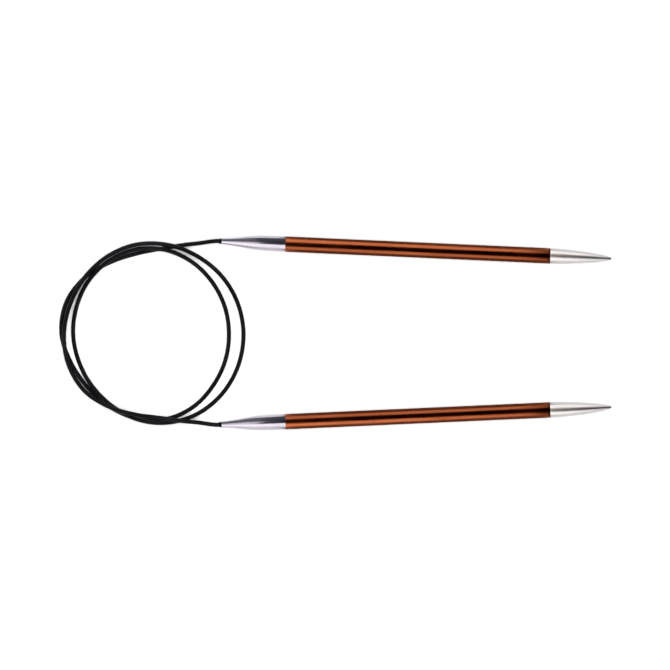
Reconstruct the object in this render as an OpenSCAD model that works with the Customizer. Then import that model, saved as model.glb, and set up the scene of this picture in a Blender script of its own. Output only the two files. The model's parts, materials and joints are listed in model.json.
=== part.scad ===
// Circular knitting needle: two rigid needles joined by one long flexible cable.
// Both needles lie on the table and point along +X; the cable lies behind them in a loose coil.
// The origin is under the middle of the two needles, on the table, with +Z up.

/* [Needle] */
// Diameter of the shank, which is the needle's size
shank_d = 5.5; // [5:0.5:8]
// Length of the bare shank
shank_l = 94.7; // [60:0.1:120]
// Length of the tapered point
point_l = 22.1; // [18:0.1:30]
// Diameter of the small ball that ends the point
tip_d = 1.1; // [0.6:0.02:1.4]
// How much thinner the plated pieces are than the shank, on the diameter
plate_step = 0.04; // [0.02:0.02:0.4]
// Wall of the shank's tube
shank_wall = 0.75; // [0.5:0.05:1]
// Chamfer on the shank's two ends
shank_chamfer = 0.15; // [0.05:0.05:0.3]

/* [Ferrule] */
// Length of the ferrule outside the shank
ferrule_l = 22.9; // [18:0.1:30]
// Length of the ferrule's cone, from the mouth to the shoulder
cone_l = 14; // [10:0.5:16]
// Diameter of the ferrule at the mouth
mouth_d = 2.02; // [1.96:0.02:2.6]
// Diameter of the ferrule at the shoulder
shoulder_d = 5.24; // [4:0.02:5.4]
// How strongly the cone eases in at the mouth and out at the shoulder
cone_ease = 0.25; // [0:0.05:0.8]
// Length of the spigots pressed into the shank
spigot_l = 8; // [5:0.5:12]

/* [Cable] */
// Diameter of the cable
cable_d = 1.5; // [1:0.1:1.5]
// Length of cable held inside each ferrule
held_l = 15.4; // [12:0.1:20]
// Length of the crimp sleeve
crimp_l = 7; // [5:0.5:9]
// Outer diameter of the crimp sleeve
crimp_d = 2.4; // [2.2:0.1:2.6]
// Length of the collar around the cable at each mouth
collar_l = 1; // [0.6:0.1:1.6]
// Diameter of the collar where it meets the ferrule
collar_d = 1.94; // [1.8:0.02:1.96]
// Diameter of the collar at its free end
collar_end_d = 1.7; // [1.6:0.02:1.8]

/* [Layout] */
// Distance from the middle to each needle's mouth, across the needles
mouth_y = 32.8; // [30:0.1:36]
// Angle by which each needle leans in towards the other
toe_in = 2.56; // [0:0.02:4]
// Middle of the coil behind the mouths, along the needles
coil_back = 24.8; // [24:0.1:26]

/* [Hidden] */

$fn = 48;
LEFT = 1;                  // the needle on the +Y side
RIGHT = -1;                // the needle on the -Y side

press_gap = 0.02;          // radial clearance between pieces that are glued or crimped together
bore_gap = 0.05;           // radial clearance of the cable in the ferrule's mouth
shank_r = shank_d / 2;
shank_bore_r = shank_r - shank_wall;
plate_r = (shank_d - plate_step) / 2;
spigot_r = shank_bore_r - press_gap;
cable_r = cable_d / 2;
mouth_bore_r = cable_r + bore_gap;
crimp_bore_r = cable_r + press_gap;
crimp_seat_r = crimp_d / 2 + press_gap;
crimp_x = held_l - crimp_l;
needle_l = ferrule_l + shank_l + point_l;

// The two needles' box, collars included, is centred on X = 0.
lean = [cos(toe_in), sin(toe_in)];
mouth_x = ((collar_l - needle_l) * lean.x + collar_end_d / 2 * lean.y) / 2;

// The cable turns up and down at the lift point just outside the mouth, and sideways at the bend
// point further on. The mouth's height is the shank's radius, because the shank lies on the table.
lift_back = 2;
bend_back = 8.9;
bend_y = 32;
left_bend_z = 1.9;
right_bend_z = 3.2;
coil_x = mouth_x - coil_back;
coil_y = -0.2;

// The coil's centreline, from the left needle round to the right one: angle round the coil's
// middle, radius and height. Each turn takes 18 points, and where two turns cross, one stands
// about 1.6 mm higher than the other.
COIL = [
    [70, 33.8, 1.1], [80, 31.2, 0.8], [90, 29.8, 0.8], [100, 29.2, 0.8], [120, 29.6, 0.8],
    [140, 31.4, 0.8], [160, 32.8, 0.8], [180, 32.6, 0.8], [200, 31.0, 0.8], [220, 30.2, 0.8],
    [240, 30.4, 0.8], [260, 31.0, 0.8], [280, 31.0, 0.8], [300, 30.0, 0.8], [320, 28.6, 0.8],
    [340, 27.8, 0.8], [360, 27.4, 0.8],
    [380, 27.6, 0.8], [400, 28.2, 1.2], [420, 29.2, 2.0], [440, 30.2, 2.4], [460, 30.7, 2.4],
    [480, 30.3, 2.4], [500, 29.6, 2.2], [520, 28.8, 1.4], [540, 28.4, 0.8], [560, 28.2, 0.8],
    [580, 28.6, 1.4], [600, 29.6, 2.3], [620, 31.2, 2.4], [640, 32.4, 2.4], [660, 33.0, 1.6],
    [680, 33.0, 0.8], [700, 32.8, 0.8], [720, 32.6, 0.8],
    [740, 32.4, 0.8], [760, 32.2, 1.2], [780, 32.0, 2.2], [800, 32.2, 3.0], [820, 32.3, 3.2],
    [840, 31.9, 3.1], [860, 31.4, 2.8], [880, 31.2, 2.4], [900, 31.6, 2.4], [920, 32.0, 2.4],
    [940, 31.8, 3.0], [960, 30.4, 3.8], [980, 29.6, 4.0], [990, 29.8, 4.0], [1000, 31.0, 4.0],
    [1010, 33.4, 3.8]
];
rings = 80;
cable_sides = 8;

function unit(v) = v / norm(v);
function turned(p) = [coil_x + p[1] * cos(p[0]), coil_y + p[1] * sin(p[0]), p[2]];
function bend_point(side) =
    [mouth_x - bend_back, side * bend_y, side == LEFT ? left_bend_z : right_bend_z];
function lift_point(side) =
    [mouth_x - lift_back * lean.x, side * (mouth_y + lift_back * lean.y), shank_r];

// The route starts and ends one cable radius past the bend points, against the tails' round ends.
coil_points = [for (p = COIL) turned(p)];
first = bend_point(LEFT);
last = bend_point(RIGHT);
ROUTE = concat(
    [first + cable_r * unit(coil_points[0] - first)],
    coil_points,
    [last + cable_r * unit(coil_points[len(coil_points) - 1] - last)]
);
route_n = len(ROUTE);

function route_point(i) =
    i < 0 ? 2 * ROUTE[0] - ROUTE[1]
    : i >= route_n ? 2 * ROUTE[route_n - 1] - ROUTE[route_n - 2]
    : ROUTE[i];
// A smooth curve through the route's points: u counts them, and may lie between two.
function along(u) = let (i = min(floor(u), route_n - 2), t = u - i,
        a = route_point(i - 1), b = route_point(i), c = route_point(i + 1), d = route_point(i + 2))
    (2 * b + (c - a) * t + (2 * a - 5 * b + 4 * c - d) * t * t
        + (3 * b - a - 3 * c + d) * t * t * t) / 2;
function ring(u) = let (p = along(u), du = 0.01,
        forward = unit(along(min(u + du, route_n - 1)) - along(max(u - du, 0))),
        side = unit(cross([0, 0, 1], forward)), up = cross(forward, side))
    [for (k = [0:cable_sides - 1]) let (a = (k + 0.5) * 360 / cable_sides)
        p + cable_r * (cos(a) * side + sin(a) * up)];

// A body turned about the needle's axis from an outline of [distance along the needle, radius].
module lathe(outline) {
    rotate([0, 90, 0])
        rotate_extrude()
            polygon([for (p = outline) [p[1], p[0]]]);
}

// A straight bore along the needle's axis, from one distance to another.
module bore(from, to, r) {
    translate([from, 0, 0])
        rotate([0, 90, 0])
            cylinder(r = r, h = to - from);
}

// Puts a shape on the left or right needle's axis, with the mouth at distance 0.
module on_needle(side) {
    translate([mouth_x, side * mouth_y, shank_r])
        rotate([0, 0, -side * toe_in])
            children();
}

// The outline of the point: one swelling curve that runs into a cone, then the small ball.
function swell(a, b, c, d, t) =
    pow(1 - t, 3) * a + 3 * pow(1 - t, 2) * t * b + 3 * (1 - t) * t * t * c + pow(t, 3) * d;
// Its two handles are given as shares of the point's length and radius.
first_handle = 0.4;
second_handle = 0.84;
second_width = 0.5;
cone_angle = 15;
ball_x = point_l - tip_d / 2;
tip_start = [ball_x + tip_d / 2 * sin(cone_angle), tip_d / 2 * cos(cone_angle)];
curve_points = 14;
ball_points = 5;
point_curve = [
    for (k = [0:curve_points]) swell(
        [0, plate_r], [point_l * first_handle, plate_r],
        [point_l * second_handle, plate_r * second_width],
        tip_start, k / curve_points)
];
point_ball = [
    for (k = [1:ball_points]) let (a = cone_angle + (90 - cone_angle) * k / ball_points)
        [ball_x + tip_d / 2 * sin(a), k == ball_points ? 0 : tip_d / 2 * cos(a)]
];

module point() {
    color("gainsboro")
        translate([ferrule_l + shank_l, 0, 0])
            lathe(concat([[-spigot_l, 0], [-spigot_l, spigot_r], [0, spigot_r]],
                point_curve, point_ball));
}

module shank() {
    far = ferrule_l + shank_l;
    color("saddlebrown")
        difference() {
            lathe([
                [ferrule_l, 0], [ferrule_l, shank_r - shank_chamfer],
                [ferrule_l + shank_chamfer, shank_r], [far - shank_chamfer, shank_r],
                [far, shank_r - shank_chamfer], [far, 0]
            ]);
            bore(ferrule_l - 1, far + 1, shank_bore_r);
        }
}

// The ferrule's cone: straight in the middle, and eased at both ends.
cone_points = 12;
function eased(t) = t - cone_ease * sin(360 * t) / (2 * PI);
cone_curve = [
    for (k = [0:cone_points]) let (t = k / cone_points)
        [cone_l * t, (mouth_d + (shoulder_d - mouth_d) * eased(t)) / 2]
];

module ferrule() {
    end = ferrule_l + spigot_l;
    color("silver")
        difference() {
            lathe(concat([[0, 0]], cone_curve,
                [[ferrule_l, plate_r], [ferrule_l, spigot_r], [end, spigot_r], [end, 0]]));
            bore(-1, crimp_x, mouth_bore_r);
            bore(crimp_x - press_gap, end + 1, crimp_seat_r);
        }
}

module crimp_sleeve() {
    color("goldenrod")
        difference() {
            bore(crimp_x, crimp_x + crimp_l, crimp_d / 2);
            bore(crimp_x - 1, crimp_x + crimp_l + 1, crimp_bore_r);
        }
}

module collar() {
    color("black")
        difference() {
            lathe([[-collar_l, 0], [-collar_l, collar_end_d / 2], [0, collar_d / 2], [0, 0]]);
            bore(-collar_l - 1, 1, crimp_bore_r);
        }
}

// The straight end of the cable, which the needle carries.
module cable_anchor() {
    color("dimgray")
        bore(cable_r - lift_back, held_l, cable_r);
}

// The short stretch of cable between the two turning points, round at both ends.
module cable_tail(side) {
    from = bend_point(side);
    reach = lift_point(side) - from;
    color("dimgray")
        translate(from)
            rotate([0, acos(reach.z / norm(reach)), atan2(reach.y, reach.x)]) {
                cylinder(r = cable_r, h = norm(reach));
                sphere(r = cable_r);
                translate([0, 0, norm(reach)])
                    sphere(r = cable_r);
            }
}

module left_point() on_needle(LEFT) point();
module left_shank() on_needle(LEFT) shank();
module left_ferrule() on_needle(LEFT) ferrule();
module left_crimp_sleeve() on_needle(LEFT) crimp_sleeve();
module left_collar() on_needle(LEFT) collar();
module left_cable_anchor() on_needle(LEFT) cable_anchor();
module left_cable_tail() cable_tail(LEFT);

module right_point() on_needle(RIGHT) point();
module right_shank() on_needle(RIGHT) shank();
module right_ferrule() on_needle(RIGHT) ferrule();
module right_crimp_sleeve() on_needle(RIGHT) crimp_sleeve();
module right_collar() on_needle(RIGHT) collar();
module right_cable_anchor() on_needle(RIGHT) cable_anchor();
module right_cable_tail() cable_tail(RIGHT);

// The coiled cable: rings of points along the route, joined by triangles, with a flat end each.
module cable() {
    last_ring = rings - 1;
    points = [for (k = [0:last_ring]) each ring((route_n - 1) * k / last_ring)];
    walls = [
        for (k = [0:last_ring - 1], j = [0:cable_sides - 1])
            let (a = k * cable_sides + j, b = k * cable_sides + (j + 1) % cable_sides)
                each [[a, a + cable_sides, b], [b, a + cable_sides, b + cable_sides]]
    ];
    start_cap = [for (j = [0:cable_sides - 1]) j];
    end_cap = [for (j = [cable_sides - 1:-1:0]) last_ring * cable_sides + j];
    color("dimgray")
        polyhedron(points, concat([start_cap], walls, [end_cap]));
}

left_point();
left_shank();
left_ferrule();
left_crimp_sleeve();
left_collar();
left_cable_anchor();
left_cable_tail();
right_point();
right_shank();
right_ferrule();
right_crimp_sleeve();
right_collar();
right_cable_anchor();
right_cable_tail();
cable();
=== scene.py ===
"""A circular knitting needle: two metal needles joined by one thin cable that lies in a loose coil."""

import json
import math

import bmesh
import bpy
import numpy as np
from bpy.props import (
    FloatProperty,
    FloatVectorProperty,
    IntProperty,
    PointerProperty,
)
from mathutils import Matrix, Vector

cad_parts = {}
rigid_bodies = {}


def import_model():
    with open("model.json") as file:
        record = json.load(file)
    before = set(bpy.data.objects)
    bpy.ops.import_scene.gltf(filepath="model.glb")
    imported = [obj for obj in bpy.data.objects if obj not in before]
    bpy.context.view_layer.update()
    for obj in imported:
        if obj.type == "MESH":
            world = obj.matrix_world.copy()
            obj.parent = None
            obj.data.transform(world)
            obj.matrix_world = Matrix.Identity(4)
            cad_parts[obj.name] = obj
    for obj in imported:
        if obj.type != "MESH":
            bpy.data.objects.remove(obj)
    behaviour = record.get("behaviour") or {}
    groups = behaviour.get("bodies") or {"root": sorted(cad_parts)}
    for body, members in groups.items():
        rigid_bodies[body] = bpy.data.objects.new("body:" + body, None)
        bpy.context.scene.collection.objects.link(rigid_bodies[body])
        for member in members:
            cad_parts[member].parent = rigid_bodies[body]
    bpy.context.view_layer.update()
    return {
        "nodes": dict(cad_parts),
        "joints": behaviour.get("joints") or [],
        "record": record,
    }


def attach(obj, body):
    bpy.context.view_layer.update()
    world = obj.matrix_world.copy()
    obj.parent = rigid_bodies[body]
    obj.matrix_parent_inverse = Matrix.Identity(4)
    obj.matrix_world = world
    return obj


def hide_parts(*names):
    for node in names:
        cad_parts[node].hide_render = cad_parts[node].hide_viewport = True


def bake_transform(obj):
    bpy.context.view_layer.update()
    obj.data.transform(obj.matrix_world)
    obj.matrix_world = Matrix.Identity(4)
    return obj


bl_info = {
    "name": "Circular Knitting Needle",
    "version": (1, 0, 0),
    "blender": (4, 5, 0),
    "location": "3D View > Sidebar > Needle",
    "description": "Builds a circular knitting needle around its packed model",
    "category": "Object",
}

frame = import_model()
NODES = frame["nodes"]
MOUNTS = {m["name"]: m for m in frame["record"]["mounts"]}
MM = 0.001

FIT_GAP = 0.02 * MM  # between a piece and the one that it is pressed into or threaded through

SIDES = ("left", "right")
TOWARDS_COIL = {"left": 1, "right": -1}  # along the cable's line, which starts at the left needle


# ---------------------------------------------------------------- places, read from the frame

def needle_matrix(side):
    """The needle's own frame: +X along its axis towards the tip, with its origin in the mouth."""
    mount = MOUNTS[f"{side}_shank"]
    along = Vector(mount["axis"]).normalized()
    across = Vector((0, 0, 1)).cross(along).normalized()
    up = along.cross(across)
    turn = Matrix((along, across, up)).transposed().to_4x4()
    middle = Vector(mount["pos_m"])
    mouth = min(
        (Vector(v.co) - middle).dot(along) for v in NODES[f"{side}_ferrule"].data.vertices
    )
    return Matrix.Translation(middle + along * mouth) @ turn


NEEDLE = {side: needle_matrix(side) for side in SIDES}


def reach(node):
    """(nearest, furthest) distance of a node from the mouth, along its needle."""
    back = NEEDLE[node.split("_")[0]].inverted()
    xs = [(back @ v.co).x for v in NODES[node].data.vertices]
    return min(xs), max(xs)


def on_axis(side, x):
    """The point on a needle's axis at a distance from its mouth."""
    return NEEDLE[side] @ Vector((x, 0, 0))


# Distances from the mouth, along a needle. Both needles have the same.
FERRULE_IN = reach("left_ferrule")[1]
SHANK = reach("left_shank")
POINT = reach("left_point")
COLLAR = reach("left_collar")
HELD = reach("left_cable_anchor")[1]
SLEEVE = reach("left_crimp_sleeve")

JOINTS = {j["name"]: Vector(j["pos_m"]) for j in frame["joints"]}


# ---------------------------------------------------------------- sizes and colours

class NeedleShape(bpy.types.PropertyGroup):
    """Sizes of the two needles' pieces."""

    shank_radius: FloatProperty(
        name="Shank radius", description="Radius of the anodised tube", unit="LENGTH",
        default=MOUNTS["left_shank"]["dims"]["r_mm"] * MM, precision=5,
    )
    shank_wall: FloatProperty(
        name="Shank wall", description="Wall of the anodised tube", unit="LENGTH",
        default=0.75 * MM, precision=5,
    )
    plate_step: FloatProperty(
        name="Plate step", description="How far the plated pieces stand back from the shank",
        unit="LENGTH", default=0.02 * MM, precision=5,
    )
    edge_round: FloatProperty(
        name="Edge round", description="Radius of the shank's rounded edges", unit="LENGTH",
        default=0.1 * MM, precision=5,
    )
    plate_round: FloatProperty(
        name="Plate round", description="Radius of the plated pieces' rounded edges",
        unit="LENGTH", default=0.06 * MM, precision=5,
    )
    tip_radius: FloatProperty(
        name="Tip radius", description="Radius of the ball that ends the point",
        unit="LENGTH", default=0.55 * MM, precision=5,
    )
    tip_slope: FloatProperty(
        name="Tip slope", description="Half angle of the cone behind the tip",
        subtype="ANGLE", default=math.radians(15),
    )
    mouth_radius: FloatProperty(
        name="Mouth radius", description="Radius of the ferrule where the cable comes out",
        unit="LENGTH", default=1.01 * MM, precision=5,
    )
    shoulder_radius: FloatProperty(
        name="Shoulder radius", description="Radius of the ferrule at the end of its cone",
        unit="LENGTH", default=2.62 * MM, precision=5,
    )
    cone_length: FloatProperty(
        name="Cone length", description="Length of the ferrule's cone", unit="LENGTH",
        default=14 * MM, precision=5,
    )
    cone_ease: FloatProperty(
        name="Cone ease", description="How softly the cone starts and ends",
        default=0.25, min=0, max=0.9,
    )
    mouth_bore: FloatProperty(
        name="Mouth bore", description="Radius of the hole that the cable comes out of",
        unit="LENGTH", default=0.8 * MM, precision=5,
    )
    sleeve_bore: FloatProperty(
        name="Sleeve bore", description="Radius of the wider hole that holds the crimp sleeve",
        unit="LENGTH", default=1.22 * MM, precision=5,
    )
    collar_radius: FloatProperty(
        name="Collar radius", description="Radius of the collar against the ferrule",
        unit="LENGTH", default=0.97 * MM, precision=5,
    )
    segments: IntProperty(
        name="Segments", description="Faces around each turned piece", default=96, min=12,
    )


class CableShape(bpy.types.PropertyGroup):
    """Sizes of the cable."""

    radius: FloatProperty(
        name="Cable radius", description="Radius of the cable", unit="LENGTH",
        default=0.75 * MM, precision=5,
    )
    sides: IntProperty(
        name="Cable sides", description="Faces around the cable", default=16, min=6,
    )
    ring_gap: FloatProperty(
        name="Ring gap", description="Distance between the cable's rings", unit="LENGTH",
        default=0.9 * MM, precision=5,
    )
    bend_reach: FloatProperty(
        name="Bend reach", description="How far past the swing joint the cable goes on bending",
        unit="LENGTH", default=8 * MM, precision=5,
    )


def colour(name, description, rgb):
    """A colour property."""
    return FloatVectorProperty(
        name=name, description=description, subtype="COLOR", size=3, min=0, max=1, default=rgb,
    )


class Finishes(bpy.types.PropertyGroup):
    """Colours and roughnesses of the finishes."""

    bronze: colour("Bronze", "Anodised shank", (0.52, 0.17, 0.075))
    bronze_dark: colour("Dark bronze", "Darker streaks in the anodising", (0.4, 0.115, 0.05))
    # Painted shade: the near-black red that darkens a ring at the shank's front end, where it meets the
    # point.
    bronze_painted_shade: colour("Bronze edge", "Deeper dye at the shank's front end", (0.13, 0.03, 0.02))
    nickel: colour("Nickel", "Plated points", (0.8, 0.77, 0.755))
    nickel_dark: colour("Dark nickel", "Duller patches on the points", (0.74, 0.71, 0.69))
    chrome: colour("Chrome", "Polished ferrules", (0.77, 0.725, 0.79))
    chrome_dark: colour("Dark chrome", "Duller patches on the ferrules", (0.7, 0.66, 0.72))
    nylon: colour("Nylon", "Cable", (0.0048, 0.004, 0.0052))
    nylon_dull: colour("Dull nylon", "Rubbed patches on the cable", (0.009, 0.009, 0.011))
    moulding: colour("Moulding", "Collars", (0.004, 0.004, 0.005))
    brass: colour("Brass", "Crimp sleeves", (0.72, 0.5, 0.2))
    shank_roughness: FloatProperty(
        name="Shank roughness", description="Roughness of the anodising", default=0.28, min=0, max=1,
    )
    point_roughness: FloatProperty(
        name="Point roughness", description="Roughness of the satin points", default=0.34, min=0, max=1,
    )
    ferrule_roughness: FloatProperty(
        name="Ferrule roughness", description="Roughness of the polished ferrules",
        default=0.2, min=0, max=1,
    )


class StageSetup(bpy.types.PropertyGroup):
    """The floor, the room, the lamps and the camera."""

    black_point: FloatProperty(
        name="Black point", description="The brightness that shows as black", default=0.004, min=0,
    )
    floor_colour: colour("Floor", "Colour of the floor", (0.9, 0.9, 0.9))
    cloth_colour: colour("Cloth", "Dark cloth that the shanks reflect", (0.13, 0.13, 0.13))
    cloth_nap: colour("Cloth nap", "Raised fibres of the dark cloth", (0.16, 0.16, 0.16))
    room_above: colour("Room above", "What is reflected from overhead", (0.008, 0.008, 0.009))
    room_round: colour("Room round", "What is reflected from the sides", (0.05, 0.05, 0.06))
    room_behind: colour("Room behind", "What is reflected from behind the coil", (0.25, 0.25, 0.26))
    backdrop: colour("Backdrop", "What shows beyond the floor", (0.95, 0.95, 0.95))
    fill: FloatProperty(
        name="Fill", description="Brightness of the overhead fill", default=3.9, min=0,
    )
    shank_light: FloatProperty(
        name="Shank light", description="Brightness of the lamps that the shanks reflect",
        default=1.35, min=0,
    )
    ferrule_light: FloatProperty(
        name="Ferrule light", description="Brightness of the lamps that the ferrules reflect",
        default=1.05, min=0,
    )
    point_light: FloatProperty(
        name="Point light", description="Brightness of the lamps that the points reflect",
        default=1.1, min=0,
    )
    cable_light: FloatProperty(
        name="Cable light", description="Brightness of the lamps that the cable reflects",
        default=0.3, min=0,
    )
    floor_reach: FloatProperty(
        name="Floor reach", description="How far the floor runs from the middle on each side",
        unit="LENGTH", default=0.45,
    )
    floor_drop: FloatProperty(
        name="Floor drop", description="How far the floor lies under the needle", unit="LENGTH",
        default=0.4 * MM, precision=5,
    )
    cloth_drop: FloatProperty(
        name="Cloth drop", description="How far the dark cloth lies under the needle",
        unit="LENGTH", default=0.2 * MM, precision=5,
    )
    cloth_reach: FloatProperty(
        name="Cloth reach", description="How far the dark cloth runs on each side of the needles",
        unit="LENGTH", default=90 * MM,
    )
    lamp_distance: FloatProperty(
        name="Lamp distance", description="From the needles to the lamps", unit="LENGTH",
        default=0.8,
    )
    view_width: FloatProperty(
        name="View width", description="Width of the view at the needles", unit="LENGTH",
        default=239.7 * MM,
    )
    lens: FloatProperty(name="Lens", description="Focal length, in millimetres", default=300.0)
    view_x: FloatProperty(
        name="View X", description="Middle of the view, along the needles", unit="LENGTH",
        default=-28.69 * MM, precision=5,
    )
    view_y: FloatProperty(
        name="View Y", description="Middle of the view, across the needles", unit="LENGTH",
        default=-0.744 * MM, precision=5,
    )


# ---------------------------------------------------------------- outlines of the turned pieces

def bezier(a, b, c, d, count):
    """Points along one cubic curve, both ends included."""
    t = np.linspace(0, 1, count + 1)[:, None]
    a, b, c, d = (np.array(p, float) for p in (a, b, c, d))
    return (1 - t) ** 3 * a + 3 * (1 - t) ** 2 * t * b + 3 * (1 - t) * t * t * c + t ** 3 * d


def arc(centre, radius, start, end, count):
    """Points along a round stretch, from one angle to another, in degrees from +X towards outwards."""
    a = np.radians(np.linspace(start, end, count + 1))
    return np.stack([centre[0] + radius * np.cos(a), centre[1] + radius * np.sin(a)], axis=1)


def rounded(before, start, corner, end, count):
    """Points along the curve that runs on from two points and turns, short of a corner, towards the end."""
    before, start, corner, end = (np.array(p, float) for p in (before, start, corner, end))
    ahead, back = start - before, corner - end
    turn = np.linalg.solve(np.stack([ahead, -back], axis=1), end - start)[0]
    peak = start + turn * ahead
    return bezier(start, (start + 2 * peak) / 3, (end + 2 * peak) / 3, end, count)


def plated_radii(s):
    """Outer radius of the plated pieces at the shank, and radius of their spigots inside it."""
    return s.shank_radius - s.plate_step, s.shank_radius - s.shank_wall - FIT_GAP


def point_outline(s):
    """The point: spigot, rounded edge, one swelling curve into a cone, and a small ball."""
    base, tip = SHANK[1], POINT[1]
    big, spigot = plated_radii(s)
    edge, slope = s.plate_round, s.tip_slope
    ball = (tip - s.tip_radius, 0)
    taper_end = (ball[0] + s.tip_radius * math.sin(slope), s.tip_radius * math.cos(slope))
    first_pull = (base + 0.4 * (tip - base), big)
    second_pull = (base + 0.84 * (tip - base), 0.5 * big)
    swell = bezier((base + edge, big), first_pull, second_pull, taper_end, 40)
    return np.vstack([
        [(POINT[0], 0), (POINT[0], spigot - edge)],
        arc((POINT[0] + edge, spigot - edge), edge, 180, 90, 3)[1:],
        [(base, spigot)],
        arc((base + edge, big - edge), edge, 180, 90, 4),
        swell[1:],
        arc(ball, s.tip_radius, 90 - math.degrees(slope), 0, 10)[1:],
    ])


def shank_outline(s):
    """The shank: a tube with rounded edges, as a closed loop."""
    (near, far), big, edge = SHANK, s.shank_radius, s.edge_round
    inner = big - s.shank_wall
    stretches = 12
    return np.vstack([
        [(near, inner)],
        arc((near + edge, big - edge), edge, 180, 90, 5),
        [(near + (far - near) * k / stretches, big) for k in range(1, stretches)],
        arc((far - edge, big - edge), edge, 90, 0, 5),
        [(far, inner)],
    ])


def ferrule_outline(s):
    """The ferrule: bored for the cable and its crimp sleeve, as a closed loop."""
    base, length, edge = SHANK[0], s.cone_length, s.plate_round
    big, spigot = plated_radii(s)
    t = np.linspace(0, 1, 41)[1:]
    eased = t - s.cone_ease * np.sin(2 * np.pi * t) / (2 * np.pi)
    cone = np.stack(
        [length * t, s.mouth_radius + (s.shoulder_radius - s.mouth_radius) * eased], axis=1
    )
    rounding_from, rounding_to = 0.84 * length, 1.22 * length
    cone = cone[(cone[:, 0] > 2 * edge) & (cone[:, 0] < rounding_from)]
    barrel_slope = (big - s.shoulder_radius) / (base - length)
    barrel = (rounding_to, s.shoulder_radius + barrel_slope * (rounding_to - length))
    shoulder = rounded(cone[-2], cone[-1], (length, s.shoulder_radius), barrel, 14)
    return np.vstack([
        arc((edge, s.mouth_bore + edge), edge, 270, 180, 3),
        arc((edge, s.mouth_radius - edge), edge, 180, 90, 3),
        cone,
        shoulder[1:],
        arc((base - edge, big - edge), edge, 90, 0, 4),
        [(base, spigot), (FERRULE_IN, spigot), (FERRULE_IN, s.sleeve_bore)],
        [(SLEEVE[0], s.sleeve_bore), (SLEEVE[0], s.mouth_bore)],
    ])


def collar_outline(s, cable_radius):
    """The collar: a short black sleeve that flares against the ferrule, as a closed loop."""
    near, far = COLLAR
    bore = cable_radius + FIT_GAP
    small, lip = 0.85 * MM, 0.05 * MM
    first_pull = (near + 0.5 * (far - near), small + 0.01 * MM)
    second_pull = (near + 0.6 * (far - near), s.collar_radius)
    flare = bezier((near + lip, small), first_pull, second_pull, (far - lip, s.collar_radius), 8)
    return np.vstack([
        [(near, bore)],
        arc((near + lip, small - lip), lip, 180, 90, 3),
        flare[1:-1],
        arc((far - lip, s.collar_radius - lip), lip, 90, 0, 3),
        [(far, bore)],
    ])


# ---------------------------------------------------------------- meshes

def new_object(name, bm, material, smooth_under=30):
    """Makes an object from a bmesh, smooth except where faces meet at a sharper angle, in degrees."""
    bmesh.ops.recalc_face_normals(bm, faces=bm.faces)
    mesh = bpy.data.meshes.new(name)
    bm.to_mesh(mesh)
    bm.free()
    mesh.shade_smooth()
    mesh.set_sharp_from_angle(angle=math.radians(smooth_under))
    mesh.materials.append(material)
    made = bpy.data.objects.new(name, mesh)
    bpy.context.scene.collection.objects.link(made)
    return made


def turned(name, outline, segments, material, side):
    """A body turned about a needle's axis, from an outline of (distance, radius) points. An outline
    that starts on the axis is closed there; any other is closed from its last point to its first."""
    no_radius = 1e-7
    bm = bmesh.new()
    rings = []
    for x, r in outline:
        if r < no_radius:
            rings.append([bm.verts.new((x, 0, 0))] * segments)
            continue
        rings.append([
            bm.verts.new((x, r * math.cos(a), r * math.sin(a)))
            for a in (2 * math.pi * k / segments for k in range(segments))
        ])
    pairs = list(zip(rings, rings[1:]))
    if outline[0][1] > no_radius:
        pairs.append((rings[-1], rings[0]))
    for one, two in pairs:
        for k in range(segments):
            nxt = (k + 1) % segments
            corners = []
            for v in (one[k], one[nxt], two[nxt], two[k]):
                if v not in corners:
                    corners.append(v)
            if len(corners) > 2:
                bm.faces.new(corners)
    made = new_object(name, bm, material)
    made.matrix_world = NEEDLE[side]
    return made


# ---------------------------------------------------------------- the cable's route

# The coil's centreline, from the left needle round to the right one: angle round the coil's middle
# in degrees, then radius and height in metres. Where two turns cross, one stands higher.
COIL = [
    (70, 0.0338, 0.0011), (80, 0.0312, 0.0008), (90, 0.0298, 0.0008), (100, 0.0292, 0.0008),
    (120, 0.0296, 0.0008), (140, 0.0314, 0.0008), (160, 0.0328, 0.0008), (180, 0.0326, 0.0008),
    (200, 0.0310, 0.0008), (220, 0.0302, 0.0008), (240, 0.0304, 0.0008), (260, 0.0310, 0.0008),
    (280, 0.0310, 0.0008), (300, 0.0300, 0.0008), (320, 0.0286, 0.0008), (340, 0.0278, 0.0008),
    (360, 0.0274, 0.0008),
    (380, 0.0276, 0.0008), (400, 0.0282, 0.0012), (420, 0.0292, 0.0020), (440, 0.0302, 0.0024),
    (460, 0.0307, 0.0024), (480, 0.0303, 0.0024), (500, 0.0296, 0.0022), (520, 0.0288, 0.0014),
    (540, 0.0284, 0.0008), (560, 0.0282, 0.0008), (580, 0.0286, 0.0014), (600, 0.0296, 0.0023),
    (620, 0.0312, 0.0024), (640, 0.0324, 0.0024), (660, 0.0330, 0.0016), (680, 0.0330, 0.0008),
    (700, 0.0328, 0.0008), (720, 0.0326, 0.0008),
    (740, 0.0324, 0.0008), (760, 0.0322, 0.0012), (780, 0.0320, 0.0022), (800, 0.0322, 0.0030),
    (820, 0.0323, 0.0032), (840, 0.0319, 0.0031), (860, 0.0314, 0.0028), (880, 0.0312, 0.0024),
    (900, 0.0316, 0.0024), (920, 0.0320, 0.0024), (940, 0.0318, 0.0030), (960, 0.0304, 0.0038),
    (980, 0.0296, 0.0040), (990, 0.0298, 0.0040), (1000, 0.0310, 0.0040), (1010, 0.0334, 0.0038),
]

# The coil's middle: how far it lies behind the left needle's mouth, and its place across.
COIL_BACK, COIL_Y = 0.0248, -0.0002


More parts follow.
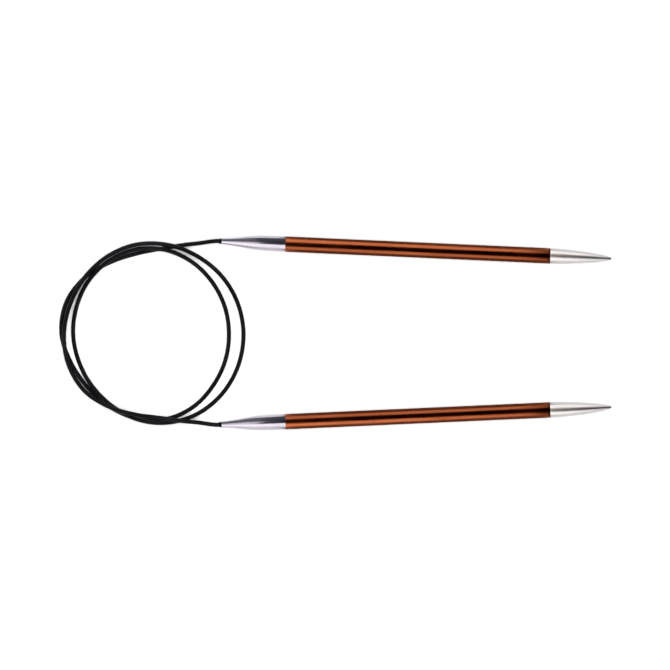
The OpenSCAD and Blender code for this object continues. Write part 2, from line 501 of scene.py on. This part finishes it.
def route_points():
    """The whole cable's route, from inside the left ferrule to inside the right one."""
    coil_x = on_axis("left", 0).x - COIL_BACK
    coil = [
        Vector((coil_x + r * math.cos(math.radians(a)), COIL_Y + r * math.sin(math.radians(a)), z))
        for a, r, z in COIL
    ]
    ends = {
        side: [
            on_axis(side, HELD), on_axis(side, 0.4 * HELD), on_axis(side, 0),
            JOINTS[f"{side}_lift"], JOINTS[f"{side}_swing"],
        ]
        for side in SIDES
    }
    return ends["left"] + coil + ends["right"][::-1]


def smooth_line(points, gap):
    """Evenly spaced points along a smooth curve through the points, which may be unevenly spaced."""
    p = np.array([tuple(v) for v in points])
    p = np.vstack([2 * p[0] - p[1], p, 2 * p[-1] - p[-2]])
    knots = np.concatenate([[0], np.cumsum(np.linalg.norm(np.diff(p, axis=0), axis=1) ** 0.5)])
    steps = 24
    line = []
    for i in range(1, len(p) - 2):
        t0, t1, t2, t3 = knots[i - 1:i + 3]
        t = np.linspace(t1, t2, steps, endpoint=False)[:, None]
        a1 = ((t1 - t) * p[i - 1] + (t - t0) * p[i]) / (t1 - t0)
        a2 = ((t2 - t) * p[i] + (t - t1) * p[i + 1]) / (t2 - t1)
        a3 = ((t3 - t) * p[i + 1] + (t - t2) * p[i + 2]) / (t3 - t2)
        b1 = ((t2 - t) * a1 + (t - t0) * a2) / (t2 - t0)
        b2 = ((t3 - t) * a2 + (t - t1) * a3) / (t3 - t1)
        line.append(((t2 - t) * b1 + (t - t1) * b2) / (t2 - t1))
    line = np.vstack(line + [p[-2:-1]])
    far = np.concatenate([[0], np.cumsum(np.linalg.norm(np.diff(line, axis=0), axis=1))])
    at = np.linspace(0, far[-1], round(far[-1] / gap) + 1)
    return np.stack([np.interp(at, far, line[:, k]) for k in range(3)], axis=1)


def nearest(line, place):
    """The number of the line's point that is nearest to a place."""
    return int(np.linalg.norm(line - np.array(place), axis=1).argmin())


def tube(name, line, first, last, radius, sides, material):
    """A closed round tube along part of a line. Its UV map holds metres round and along the cable."""
    forward = np.gradient(line, axis=0)
    forward /= np.linalg.norm(forward, axis=1)[:, None]
    across = np.cross((0, 0, 1), forward)
    across /= np.linalg.norm(across, axis=1)[:, None]
    up = np.cross(forward, across)
    bm = bmesh.new()
    uv = bm.loops.layers.uv.new("CableMap")
    step = np.linalg.norm(line[1] - line[0])
    rings = []
    for k in range(first, last + 1):
        ring = []
        for j in range(sides):
            a = 2 * math.pi * j / sides
            out = math.cos(a) * across[k] + math.sin(a) * up[k]
            ring.append(bm.verts.new(line[k] + radius * out))
        rings.append(ring)
    girth = 2 * math.pi * radius / sides
    for k, (one, two) in enumerate(zip(rings, rings[1:])):
        for j in range(sides):
            nxt = (j + 1) % sides
            face = bm.faces.new((one[j], one[nxt], two[nxt], two[j]))
            places = ((j, k), (j + 1, k), (j + 1, k + 1), (j, k + 1))
            for loop, (u, v) in zip(face.loops, places):
                loop[uv].uv = (u * girth, (first + v) * step)
    bm.faces.new(rings[0])
    bm.faces.new(rings[-1][::-1])
    return new_object(name, bm, material, smooth_under=60)


# ---------------------------------------------------------------- shader node groups

def group(name, inputs, outputs):
    """A new shader node group with float, colour or vector sockets, and its input and output nodes."""
    made = bpy.data.node_groups.new(name, "ShaderNodeTree")
    for direction, sockets in (("INPUT", inputs), ("OUTPUT", outputs)):
        for label, kind, *default in sockets:
            socket = made.interface.new_socket(label, in_out=direction, socket_type=f"NodeSocket{kind}")
            if default:
                socket.default_value = default[0]
    return made, made.nodes.new("NodeGroupInput"), made.nodes.new("NodeGroupOutput")


def maths(tree, operation, a, b=None, clamp=False):
    """A Math node. Its inputs are numbers or sockets; gives its output socket."""
    node = tree.nodes.new("ShaderNodeMath")
    node.operation = operation
    node.use_clamp = clamp
    for socket, value in zip(node.inputs, (a, b)):
        if isinstance(value, (int, float)):
            socket.default_value = value
        elif value is not None:
            tree.links.new(value, socket)
    return node.outputs[0]


def two_masks(tree, one, one_share, two, two_share):
    """The sum of two masks, each taken at its share."""
    first, second = maths(tree, "MULTIPLY", one, one_share), maths(tree, "MULTIPLY", two, two_share)
    return maths(tree, "ADD", first, second)


def stretched_noise(tree, vector, scale, detail, stretch=(1, 1, 1), roughness=0.5):
    """Noise whose grains are drawn out: the vector is scaled by stretch first."""
    mapping = tree.nodes.new("ShaderNodeMapping")
    mapping.inputs["Scale"].default_value = stretch
    tree.links.new(vector, mapping.inputs["Vector"])
    noise = tree.nodes.new("ShaderNodeTexNoise")
    noise.inputs["Scale"].default_value = scale
    noise.inputs["Detail"].default_value = detail
    noise.inputs["Roughness"].default_value = roughness
    tree.links.new(mapping.outputs[0], noise.inputs["Vector"])
    return noise.outputs["Fac"]


def contrast(tree, value, low, high):
    """The value spread so that low becomes 0 and high becomes 1."""
    node = tree.nodes.new("ShaderNodeMapRange")
    node.interpolation_type = "SMOOTHSTEP"
    tree.links.new(value, node.inputs["Value"])
    node.inputs["From Min"].default_value = low
    node.inputs["From Max"].default_value = high
    return node.outputs["Result"]


def drawn_grain_group():
    """Fine lines along X, as drawing or polishing leaves them: a mask, and a height in the same lines."""
    tree, given, out = group(
        "Drawn Grain",
        [("Vector", "Vector"), ("Fineness", "Float", 1.0)],
        [("Streaks", "Float"), ("Height", "Float")],
    )
    scaled = tree.nodes.new("ShaderNodeVectorMath")
    scaled.operation = "SCALE"
    tree.links.new(given.outputs["Vector"], scaled.inputs[0])
    tree.links.new(given.outputs["Fineness"], scaled.inputs["Scale"])
    broad = stretched_noise(tree, scaled.outputs[0], scale=900, detail=2, stretch=(0.03, 1, 1))
    fine = stretched_noise(tree, scaled.outputs[0], scale=4200, detail=2, stretch=(0.02, 1, 1))
    both = two_masks(tree, broad, 0.55, fine, 0.45)
    tree.links.new(contrast(tree, both, 0.38, 0.62), out.inputs["Streaks"])
    tree.links.new(fine, out.inputs["Height"])
    return tree


def handling_group():
    """Marks of use: soft cloudy rubbing, and a few short hairline scratches."""
    tree, given, out = group(
        "Handling Marks",
        [("Vector", "Vector")],
        [("Rubbed", "Float"), ("Scratches", "Float")],
    )
    place = given.outputs["Vector"]
    cloud = stretched_noise(tree, place, scale=170, detail=4, stretch=(0.45, 1, 1), roughness=0.6)
    tree.links.new(contrast(tree, cloud, 0.42, 0.68), out.inputs["Rubbed"])
    bent = stretched_noise(tree, place, scale=1500, detail=1, stretch=(0.16, 1, 0.7))
    line = contrast(tree, maths(tree, "ABSOLUTE", maths(tree, "SUBTRACT", bent, 0.5)), 0.012, 0)
    here_and_there = contrast(tree, stretched_noise(tree, place, scale=420, detail=1), 0.6, 0.7)
    tree.links.new(maths(tree, "MULTIPLY", line, here_and_there), out.inputs["Scratches"])
    return tree


# The ring marks real wear on the shank's edges, and also painted shade at the shank's front end.
def end_wear_and_shade_group():
    """A mask that is 1 in a thin ring at each end of a piece, between two distances along X."""
    tree, given, out = group(
        "End Wear",
        [("Vector", "Vector"), ("Near", "Float"), ("Far", "Float"), ("Width", "Float", 0.4 * MM)],
        [("Worn", "Float")],
    )
    parts = tree.nodes.new("ShaderNodeSeparateXYZ")
    tree.links.new(given.outputs["Vector"], parts.inputs[0])
    from_near = maths(tree, "SUBTRACT", parts.outputs["X"], given.outputs["Near"])
    from_far = maths(tree, "SUBTRACT", given.outputs["Far"], parts.outputs["X"])
    nearer = maths(tree, "MINIMUM", from_near, from_far)
    share = maths(tree, "DIVIDE", nearer, given.outputs["Width"])
    ragged = stretched_noise(tree, given.outputs["Vector"], scale=1900, detail=3)
    edge = maths(tree, "ADD", share, maths(tree, "SUBTRACT", ragged, 0.5))
    tree.links.new(contrast(tree, edge, 1, 0.3), out.inputs["Worn"])
    return tree


GROUP_BUILDERS = {
    "Drawn Grain": drawn_grain_group,
    "Handling Marks": handling_group,
    "End Wear": end_wear_and_shade_group,
}


def use(tree, name, **given):
    """Places one of the shared groups in a material, with its own values, and gives the node."""
    node = tree.nodes.new("ShaderNodeGroup")
    node.node_tree = bpy.data.node_groups.get(name) or GROUP_BUILDERS[name]()
    for label, value in given.items():
        if isinstance(value, bpy.types.NodeSocket):
            tree.links.new(value, node.inputs[label])
        else:
            node.inputs[label].default_value = value
    return node


# ---------------------------------------------------------------- materials

SOCKETS = {
    "metallic": "Metallic", "roughness": "Roughness", "ior": "IOR", "specular": "Specular IOR Level",
}


def shader(name, **plain):
    """A new material: its tree, its Principled BSDF with plain values set, and its Object coordinates."""
    made = bpy.data.materials.new(name)
    made.use_nodes = True
    tree = made.node_tree
    surface = tree.nodes["Principled BSDF"]
    for label, value in plain.items():
        surface.inputs[SOCKETS[label]].default_value = value
    place = tree.nodes.new("ShaderNodeTexCoord").outputs["Object"]
    return made, tree, surface, place


def mixed(tree, share, one, two):
    """A colour between two: each a colour property or a socket."""
    node = tree.nodes.new("ShaderNodeMix")
    node.data_type = "RGBA"
    tree.links.new(share, node.inputs["Factor"])
    first, second, result = 6, 7, 2  # where the node's colour sockets stand among its others
    for socket, value in ((node.inputs[first], one), (node.inputs[second], two)):
        if isinstance(value, bpy.types.NodeSocket):
            tree.links.new(value, socket)
        else:
            socket.default_value = (*value, 1)
    return node.outputs[result]


def darker(rgb, share):
    """The same colour at a share of its brightness."""
    return tuple(share * c for c in rgb)


def coloured(tree, surface, share, one, two):
    """Gives the surface a colour that runs from one to the other as the share goes from 0 to 1."""
    tree.links.new(mixed(tree, share, one, two), surface.inputs["Base Color"])


def roughened(tree, surface, share, low, high):
    """Gives the surface a roughness that runs from low to high as the share goes from 0 to 1."""
    rough = maths(tree, "ADD", maths(tree, "MULTIPLY", share, high - low), low, clamp=True)
    tree.links.new(rough, surface.inputs["Roughness"])


def raised(tree, surface, height, distance, strength):
    """Gives the surface a relief: a height from 0 to 1, of which 1 stands for a distance in metres."""
    bump = tree.nodes.new("ShaderNodeBump")
    bump.inputs["Distance"].default_value = distance
    bump.inputs["Strength"].default_value = strength
    tree.links.new(height, bump.inputs["Height"])
    tree.links.new(bump.outputs[0], surface.inputs["Normal"])


def anodised_bronze(f):
    """The shank: tinted, drawn aluminium, worn at both edges, with painted shade darkening a ring at its
    front end, where it meets the point.
    """
    made, tree, surface, place = shader("anodised_bronze", metallic=1.0)
    grain = use(tree, "Drawn Grain", Vector=place, Fineness=1.0)
    marks = use(tree, "Handling Marks", Vector=place)
    # Painted shade: a ring 1 mm wide at the shank's front end, where it meets the point, is darkened
    # towards a near-black red.
    end_shade_ring = use(tree, "End Wear", Vector=place, Near=0.0, Far=SHANK[1], Width=1 * MM)
    wear = use(tree, "End Wear", Vector=place, Near=SHANK[0], Far=SHANK[1], Width=0.12 * MM)
    tinted = mixed(tree, grain.outputs["Streaks"], f.bronze_dark, f.bronze)
    end_shade_share = maths(tree, "MULTIPLY", end_shade_ring.outputs["Worn"], 0.75)
    bronze_with_end_shade = mixed(tree, end_shade_share, tinted, f.bronze_painted_shade)
    bare = maths(tree, "MULTIPLY", wear.outputs["Worn"], 0.12)
    coloured(tree, surface, bare, bronze_with_end_shade, f.nickel)
    dull = two_masks(tree, marks.outputs["Rubbed"], 0.6, grain.outputs["Streaks"], 0.4)
    roughened(tree, surface, dull, f.shank_roughness - 0.04, f.shank_roughness + 0.07)
    raised(tree, surface, grain.outputs["Height"], distance=0.004 * MM, strength=0.5)
    return made


def satin_nickel(f):
    """The point: nickel plate with a soft lengthwise polish."""
    made, tree, surface, place = shader("satin_nickel", metallic=1.0)
    grain = use(tree, "Drawn Grain", Vector=place, Fineness=1.4)
    marks = use(tree, "Handling Marks", Vector=place)
    coloured(tree, surface, marks.outputs["Rubbed"], f.nickel, f.nickel_dark)
    dull = two_masks(tree, grain.outputs["Streaks"], 0.5, marks.outputs["Scratches"], 0.5)
    roughened(tree, surface, dull, f.point_roughness - 0.05, f.point_roughness + 0.1)
    raised(tree, surface, grain.outputs["Height"], distance=0.006 * MM, strength=0.6)
    return made


def polished_nickel(f):
    """The ferrule: the same plate, brighter and smoother."""
    made, tree, surface, place = shader("polished_nickel", metallic=1.0)
    grain = use(tree, "Drawn Grain", Vector=place, Fineness=0.8)
    marks = use(tree, "Handling Marks", Vector=place)
    coloured(tree, surface, marks.outputs["Rubbed"], f.chrome, f.chrome_dark)
    dull = two_masks(tree, marks.outputs["Rubbed"], 0.5, marks.outputs["Scratches"], 0.2)
    roughened(tree, surface, dull, f.ferrule_roughness - 0.03, f.ferrule_roughness + 0.09)
    raised(tree, surface, grain.outputs["Height"], distance=0.003 * MM, strength=0.4)
    return made


def cable_nylon(f):
    """The cable: black nylon with faint lengthwise extrusion lines and rubbed patches."""
    made, tree, surface, _ = shader("cable_nylon", metallic=0.0, ior=1.53)
    place = tree.nodes.new("ShaderNodeUVMap")
    place.uv_map = "CableMap"
    swapped = tree.nodes.new("ShaderNodeMapping")
    swapped.inputs["Rotation"].default_value = (0, 0, math.radians(90))
    tree.links.new(place.outputs[0], swapped.inputs["Vector"])
    grain = use(tree, "Drawn Grain", Vector=swapped.outputs[0], Fineness=1.2)
    marks = use(tree, "Handling Marks", Vector=swapped.outputs[0])
    coloured(tree, surface, marks.outputs["Rubbed"], f.nylon, f.nylon_dull)
    dull = two_masks(tree, marks.outputs["Rubbed"], 0.5, grain.outputs["Streaks"], 0.5)
    roughened(tree, surface, dull, 0.32, 0.5)
    raised(tree, surface, grain.outputs["Height"], distance=0.01 * MM, strength=0.6)
    return made


def moulded_black(f):
    """The collar: black moulded plastic with a fine matt grain."""
    made, tree, surface, place = shader("moulded_black", metallic=0.0, ior=1.5)
    marks = use(tree, "Handling Marks", Vector=place)
    coloured(tree, surface, marks.outputs["Rubbed"], f.moulding, f.nylon_dull)
    pebble = stretched_noise(tree, place, scale=5000, detail=2)
    roughened(tree, surface, pebble, 0.4, 0.6)
    raised(tree, surface, pebble, distance=0.01 * MM, strength=0.5)
    return made


def crimp_brass(f):
    """The crimp sleeve: bare brass, slightly tarnished."""
    made, tree, surface, place = shader("crimp_brass", metallic=1.0)
    marks = use(tree, "Handling Marks", Vector=place)
    coloured(tree, surface, marks.outputs["Rubbed"], f.brass, darker(f.brass, 0.45))
    roughened(tree, surface, marks.outputs["Rubbed"], 0.25, 0.45)
    return made


def studio_floor(s):
    """The floor: matt and near white, with the faintest mottling, and less bright in reflections."""
    made, tree, surface, place = shader("studio_floor", metallic=0.0, roughness=0.9, specular=0.0)
    mottling = stretched_noise(tree, place, scale=30, detail=4)
    seen = mixed(tree, mottling, s.floor_colour, darker(s.floor_colour, 0.985))
    reflected = tree.nodes.new("ShaderNodeLightPath").outputs["Is Glossy Ray"]
    coloured(tree, surface, reflected, seen, darker(s.floor_colour, 0.56))
    return made


def flag_cloth(s):
    """The dark cloth under the shanks: matt, with a slight nap."""
    made, tree, surface, place = shader("flag_cloth", metallic=0.0, roughness=1.0, specular=0.0)
    nap = stretched_noise(tree, place, scale=200, detail=2)
    coloured(tree, surface, nap, s.cloth_colour, s.cloth_nap)
    return made


# ---------------------------------------------------------------- operators

class Step(bpy.types.Operator):
    """What the steps share. It isn't a step itself, and isn't registered."""

    bl_options = {"REGISTER", "UNDO"}

    def place_turned(self, piece, outline, material, slot):
        """Turns one piece on each needle, rides it on that needle and puts it in place of its node."""
        shape = bpy.context.scene.needle_shape
        for side in SIDES:
            made = turned(f"{side}_{piece}_turned", outline, shape.segments, material, side)
            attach(made, f"{side}_needle")
            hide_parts(f"{side}_{piece}")


class NEEDLE_OT_points(Step):
    """Turns the two plated points"""

    bl_idname = "needle.points"
    bl_label = "Points"

    def execute(self, context):
        outline = point_outline(context.scene.needle_shape)
        self.place_turned("point", outline, satin_nickel(context.scene.finishes), "plated_metal")
        return {"FINISHED"}


class NEEDLE_OT_shanks(Step):
    """Turns the two anodised shanks"""

    bl_idname = "needle.shanks"
    bl_label = "Shanks"

    def execute(self, context):
        outline = shank_outline(context.scene.needle_shape)
        self.place_turned("shank", outline, anodised_bronze(context.scene.finishes), "anodised_shank")
        return {"FINISHED"}


class NEEDLE_OT_ferrules(Step):
    """Turns the two polished ferrules"""

    bl_idname = "needle.ferrules"
    bl_label = "Ferrules"

    def execute(self, context):
        outline = ferrule_outline(context.scene.needle_shape)
        self.place_turned("ferrule", outline, polished_nickel(context.scene.finishes), "plated_metal")
        return {"FINISHED"}


class NEEDLE_OT_collars(Step):
    """Turns the two black collars"""

    bl_idname = "needle.collars"
    bl_label = "Collars"

    def execute(self, context):
        scene = context.scene
        outline = collar_outline(scene.needle_shape, scene.cable_shape.radius)
        self.place_turned("collar", outline, moulded_black(scene.finishes), "collar_plastic")
        return {"FINISHED"}


class NEEDLE_OT_sleeves(Step):
    """Finishes the two brass crimp sleeves"""

    bl_idname = "needle.sleeves"
    bl_label = "Crimp sleeves"

    def execute(self, context):
        brass = crimp_brass(context.scene.finishes)
        for side in SIDES:
            node = NODES[f"{side}_crimp_sleeve"]
            node.data.materials.clear()
            node.data.materials.append(brass)
        return {"FINISHED"}


class NEEDLE_OT_cable(Step):
    """Sweeps the cable: its coil, and at each end a curved stretch past the swing joint and the neck that
    the ferrule holds
    """

    bl_idname = "needle.cable"
    bl_label = "Cable"

    def execute(self, context):
        shape = context.scene.cable_shape
        nylon = cable_nylon(context.scene.finishes)
        line = smooth_line(route_points(), shape.ring_gap)
        # The smoothing dips a little between low points: there the cable rests on the table.
        line[:, 2] = np.maximum(line[:, 2], shape.radius)
        step = float(np.linalg.norm(line[1] - line[0]))
        cuts = {}
        for side in SIDES:
            onward = TOWARDS_COIL[side]
            swing = nearest(line, JOINTS[f"{side}_swing"])
            middle = nearest(line, (JOINTS[f"{side}_swing"] + JOINTS[f"{side}_lift"]) / 2)
            coil_end = swing + onward * round(shape.bend_reach / step)
            cuts[side] = (0 if side == "left" else len(line) - 1, middle, coil_end)

        def stretch(name, a, b):
            made = tube(name, line, min(a, b), max(a, b), shape.radius, shape.sides, nylon)
            return made

        ends = []
        for side in SIDES:
            held, middle, coil_end = cuts[side]
            neck = stretch(f"{side}_cable_neck", held, middle)
            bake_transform(neck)
            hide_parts(f"{side}_cable_anchor")
            bend = stretch(f"{side}_cable_bend", middle, coil_end)
            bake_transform(bend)
            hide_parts(f"{side}_cable_tail")
            ends += [neck, bend]
        first, last = cuts["left"][2], cuts["right"][2]
        coil = stretch("cable_coil", first, last)
        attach(coil, "cable")
        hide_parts("cable")
        mouths = [nearest(line, on_axis(side, 0)) for side in SIDES]
        return {"FINISHED"}


class NEEDLE_OT_stage(Step):
    """Sets up the floor, the lamps and the camera"""

    bl_idname = "needle.stage"
    bl_label = "Stage"

    def execute(self, context):
        scene = context.scene
        s = scene.stage_setup
        scene.view_settings.view_transform = "Standard"
        scene.view_settings.look = "Medium High Contrast"
        scene.view_settings.use_curve_mapping = True
        scene.view_settings.curve_mapping.black_level = (s.black_point,) * 3
        scene.view_settings.curve_mapping.update()
        self.floor(s)
        self.flag(s)
        self.fill(s)
        self.lamps(s)
        self.surroundings(scene, s)
        self.camera(scene, s)
        return {"FINISHED"}

    def sheet(self, name, low, high, z, material):
        """A flat sheet under the needle."""
        bm = bmesh.new()
        corners = ((low[0], low[1]), (high[0], low[1]), (high[0], high[1]), (low[0], high[1]))
        bm.faces.new([bm.verts.new((x, y, z)) for x, y in corners])
        made = new_object(name, bm, material)
        return made

    def floor(self, s):
        """The pale floor."""
        reach = s.floor_reach
        self.sheet("floor", (-reach, -reach), (reach, reach), -s.floor_drop, studio_floor(s))

    def flag(self, s):
        """A dark cloth under the shanks that shows only in what they reflect."""
        back, front = (on_axis("left", x).x for x in SHANK)
        low, high = (back, -s.cloth_reach), (front, s.cloth_reach)
        cloth = self.sheet("flag", low, high, -s.cloth_drop, flag_cloth(s))
        cloth.visible_camera = cloth.visible_diffuse = cloth.visible_shadow = False

    def lamp(self, name, place, outwards, size, brightness, tint=(1, 1, 1)):
        """A flat soft lamp that shines inwards. Its brightness is what a mirror shows of it."""
        data = bpy.data.lights.new(name, "AREA")
        data.shape = "RECTANGLE"
        data.size, data.size_y = size
        data.energy = math.pi * size[0] * size[1] * brightness
        data.color = tint
        lamp = bpy.data.objects.new(name, data)
        lamp.location = place
        lamp.rotation_mode = "QUATERNION"
        lamp.rotation_quaternion = Vector(outwards).to_track_quat("Z", "X")
        lamp.visible_camera = False
        bpy.context.scene.collection.objects.link(lamp)
        return lamp

    def fill(self, s):
        """The overhead fill, which lights the floor and shows in no reflection."""
        height, width = 1.2, 1.6
        fill = self.lamp("fill", (0, 0, height), (0, 0, 1), (width, width), s.fill)
        fill.visible_glossy = False

    def lamps(self, s):
        """Soft lamps round the needles. Each lights only the pieces named. It fills the sky between two
        angles from straight up, positive on the left needle's side, and stands between two places in X."""
        white, lilac = (1, 1, 1), (0.98, 0.965, 0.985)
        warm, slate = (1.0, 0.88, 0.82), (0.75, 0.85, 1.0)
        end_to_end, coil_end = (-1.2, 1.2), (-0.6, -0.15)
        over_shanks, over_points, over_cones = (-1.2, 0.12), (-1.2, 0.4), (-1.2, 0.36)
        for name, pieces, low, high, (back, front), brightness, tint in (
            ("left_shank_outer", "left_shank", 34, 82, over_shanks, s.shank_light, white),
            ("left_shank_inner", "left_shank", -82, -34, over_shanks, 0.7 * s.shank_light, white),
            ("right_shank_inner", "right_shank", 34, 82, over_shanks, 0.7 * s.shank_light, white),
            ("right_shank_outer", "right_shank", -82, -34, over_shanks, s.shank_light, white),
            ("left_ferrule_side", "left_ferrule", -62, -13, end_to_end, s.ferrule_light, lilac),
            ("right_ferrule_side", "right_ferrule", -62, -20, end_to_end, s.ferrule_light, lilac),
            ("ferrule_low", "_ferrule", -88, -62, end_to_end, 0.72 * s.ferrule_light, lilac),
            ("left_ferrule_end", "left_ferrule", -13, 14, coil_end, 0.6 * s.ferrule_light, lilac),
            ("right_ferrule_end", "right_ferrule", -20, 21, coil_end, 0.6 * s.ferrule_light, lilac),
            ("ferrule_shade", "_ferrule", 10, 86, end_to_end, 0.05, slate),
            ("ferrule_dusk", "_ferrule", 14, 86, coil_end, 0.09, lilac),
            ("left_point_outer", "left_point", 34, 84, over_points, s.point_light, white),
            ("left_point_inner", "left_point", -84, -22, over_points, 0.93 * s.point_light, white),
            ("right_point_inner", "right_point", 22, 84, over_points, 0.93 * s.point_light, white),
            ("right_point_outer", "right_point", -84, -34, over_points, s.point_light, white),
            ("point_top", "_point", -34, 34, over_cones, 0.37 * s.point_light, warm),
            ("cable_top", "_cable", -30, 30, end_to_end, s.cable_light, white),
            ("coil_top", "cable_coil", -30, 30, end_to_end, s.cable_light, white),
            ("collar_top", "_collar", -30, 30, end_to_end, s.cable_light, white),
        ):
            middle, half = math.radians((low + high) / 2), math.radians((high - low) / 2)
            towards = Vector((0, math.sin(middle), math.cos(middle)))
            place = towards * s.lamp_distance + Vector(((back + front) / 2, 0, 0))
            size = (2 * s.lamp_distance * math.tan(half), front - back)
            lamp = self.lamp(name, place, towards, size, brightness, tint)
            lit = bpy.data.collections.new(f"lit_by_{name}")
            for piece in bpy.context.scene.objects:
                if piece.type == "MESH" and pieces in piece.name:
                    lit.objects.link(piece)
            lamp.light_linking.receiver_collection = lit

    def surroundings(self, scene, s):
        """A dim room, darkest overhead and lighter behind the coil, that the camera sees as pale."""
        world = bpy.data.worlds.new("studio")
        scene.world = world
        world.use_nodes = True
        tree = world.node_tree
        tree.nodes.clear()
        seen = tree.nodes.new("ShaderNodeLightPath").outputs["Is Camera Ray"]
        towards = tree.nodes.new("ShaderNodeSeparateXYZ")
        tree.links.new(tree.nodes.new("ShaderNodeTexCoord").outputs["Generated"], towards.inputs[0])
        low_down = contrast(tree, towards.outputs["Z"], 0.95, 0.4)
        behind = contrast(tree, towards.outputs["X"], -0.7, -0.95)
        sky = mixed(tree, low_down, s.room_above, s.room_round)
        room = mixed(tree, behind, sky, s.room_behind)
        background = tree.nodes.new("ShaderNodeBackground")
        output = tree.nodes.new("ShaderNodeOutputWorld")
        tree.links.new(background.outputs[0], output.inputs["Surface"])
        tree.links.new(mixed(tree, seen, room, s.backdrop), background.inputs["Color"])

    def camera(self, scene, s):
        """The camera, straight above the needles."""
        data = bpy.data.cameras.new("camera")
        data.lens = s.lens
        camera = bpy.data.objects.new("camera", data)
        height = s.view_width * s.lens / data.sensor_width
        camera.location = (s.view_x, s.view_y, height + scene.needle_shape.shank_radius)
        scene.collection.objects.link(camera)
        scene.camera = camera


class NEEDLE_PT_panel(bpy.types.Panel):
    """The needle's steps and sizes"""

    bl_idname = "NEEDLE_PT_panel"
    bl_label = "Circular Knitting Needle"
    bl_space_type = "VIEW_3D"
    bl_region_type = "UI"
    bl_category = "Needle"

    def draw(self, context):
        for step in STEPS:
            self.layout.operator(step.bl_idname)
        for name in GROUPS_OF_SETTINGS:
            settings = getattr(context.scene, name)
            box = self.layout.box()
            for label in settings.__annotations__:
                box.prop(settings, label)


STEPS = (
    NEEDLE_OT_cable, NEEDLE_OT_collars, NEEDLE_OT_ferrules, NEEDLE_OT_sleeves,
    NEEDLE_OT_shanks, NEEDLE_OT_points, NEEDLE_OT_stage,
)
GROUPS_OF_SETTINGS = {
    "needle_shape": NeedleShape,
    "cable_shape": CableShape,
    "finishes": Finishes,
    "stage_setup": StageSetup,
}


def register():
    for settings in GROUPS_OF_SETTINGS.values():
        bpy.utils.register_class(settings)
    for step in STEPS:
        bpy.utils.register_class(step)
    bpy.utils.register_class(NEEDLE_PT_panel)
    for name, settings in GROUPS_OF_SETTINGS.items():
        setattr(bpy.types.Scene, name, PointerProperty(type=settings))


def unregister():
    for name in GROUPS_OF_SETTINGS:
        delattr(bpy.types.Scene, name)
    bpy.utils.unregister_class(NEEDLE_PT_panel)
    for step in reversed(STEPS):
        bpy.utils.unregister_class(step)
    for settings in reversed(list(GROUPS_OF_SETTINGS.values())):
        bpy.utils.unregister_class(settings)


def main():
    register()
    bpy.ops.needle.cable()
    bpy.ops.needle.collars()
    bpy.ops.needle.ferrules()
    bpy.ops.needle.sleeves()
    bpy.ops.needle.shanks()
    bpy.ops.needle.points()
    bpy.ops.needle.stage()


if __name__ == "__main__":
    main()
